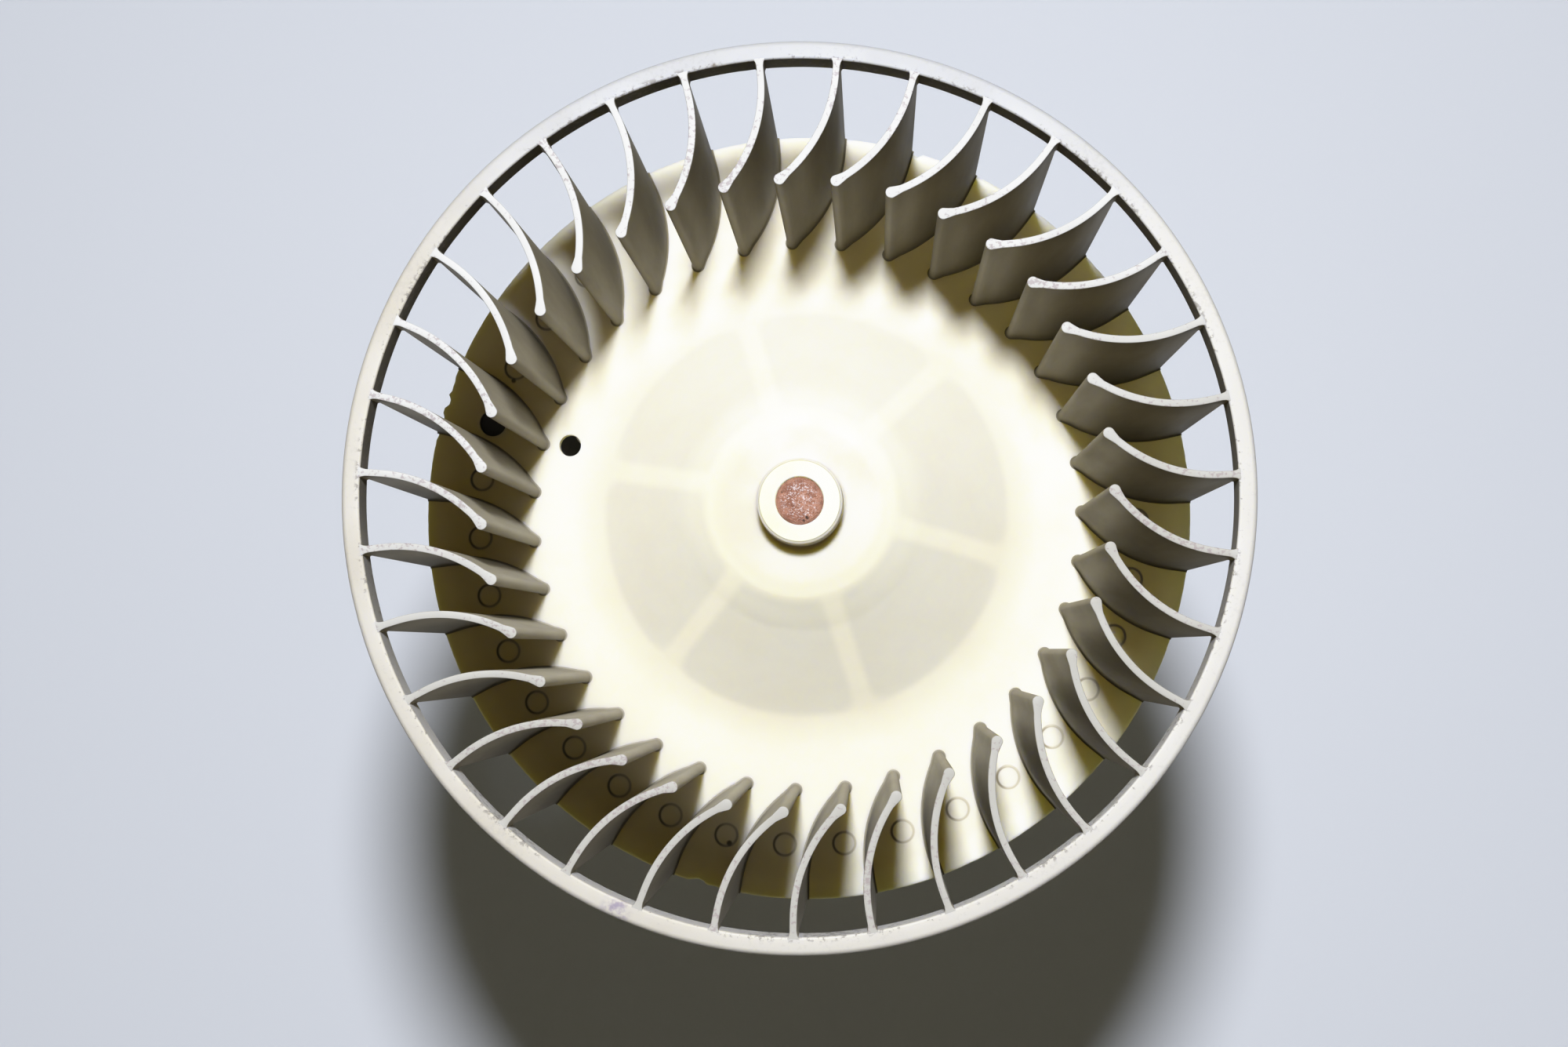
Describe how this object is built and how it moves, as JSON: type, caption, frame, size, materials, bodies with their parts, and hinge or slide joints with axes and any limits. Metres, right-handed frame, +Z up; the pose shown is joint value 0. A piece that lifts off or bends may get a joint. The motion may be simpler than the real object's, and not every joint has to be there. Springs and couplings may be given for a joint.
{
  "type": "heater blower fan",
  "caption": "Squirrel-cage heater blower fan: a moulded wheel with curved blades and a bell-shaped disc, pressed on the shaft of its own brushed motor.",
  "frame": {"origin": "centre of the end cap's flat underside, on the shaft's axis", "axes": "+Z up along the shaft towards the wheel's open inlet, +X towards the connector socket"},
  "size_m": [0.145, 0.145, 0.16],
  "materials": {
    "wheel_plastic": "moulded, slightly translucent ivory, dusty",
    "shaft_steel": "turned steel with a rusty end",
    "lamination_steel": "stacked sheet, varnished",
    "copper": "enamelled copper",
    "fibre": "pressed fibre",
    "phenolic": "moulded phenolic",
    "can_steel": "black satin paint over drawn steel",
    "plated_steel": "zinc plated, satin",
    "screw_steel": "zinc plated",
    "spring_steel": "bright",
    "bronze": "sintered, oiled",
    "brass": "pressed sheet",
    "felt": "oiled felt",
    "ferrite": "ground ferrite",
    "carbon": "pressed carbon",
    "grommet_rubber": "moulded rubber",
    "black_plastic": "moulded"
  },
  "bodies": {
    "motor": {"motor_can": "can_steel", "end_cap": "plated_steel", "end_cap_screws": "screw_steel", "mounting_flange": "plated_steel", "upper_bearing": "bronze", "lower_bearing": "bronze", "upper_felt_washer": "felt", "lower_felt_washer": "felt", "upper_bearing_retainer": "spring_steel", "lower_bearing_retainer": "spring_steel", "thrust_pad": "phenolic", "brush_plate": "phenolic", "connector_housing": "black_plastic", "flange_grommet_1": "grommet_rubber", "grommet_sleeve_1": "plated_steel", "flange_grommet_2": "grommet_rubber", "grommet_sleeve_2": "plated_steel", "flange_grommet_3": "grommet_rubber", "grommet_sleeve_3": "plated_steel", "left_magnet": "ferrite", "right_magnet": "ferrite", "left_magnet_clip": "spring_steel", "right_magnet_clip": "spring_steel", "left_brush_holder": "brass", "right_brush_holder": "brass", "left_brush": "carbon", "right_brush": "carbon", "left_brush_spring": "spring_steel", "right_brush_spring": "spring_steel", "left_choke_rod": "ferrite", "right_choke_rod": "ferrite", "left_choke_coil": "copper", "right_choke_coil": "copper", "left_terminal": "brass", "right_terminal": "brass"},
    "rotor": {"wheel_disc": "wheel_plastic", "wheel_blades": "wheel_plastic", "wheel_ring": "wheel_plastic", "motor_shaft": "shaft_steel", "armature_core": "lamination_steel", "armature_winding": "copper", "upper_end_insulator": "fibre", "lower_end_insulator": "fibre", "shaft_spacer": "plated_steel", "commutator_core": "phenolic", "commutator_bars": "copper", "upper_thrust_washer": "fibre", "lower_thrust_washer": "fibre"}
  },
  "joints": [
    {"name": "wheel_spin", "type": "hinge", "parent": "motor", "child": "rotor", "pos_m": [0, 0, 0.105], "axis": [0, 0, 1], "continuous": true}
  ]
}
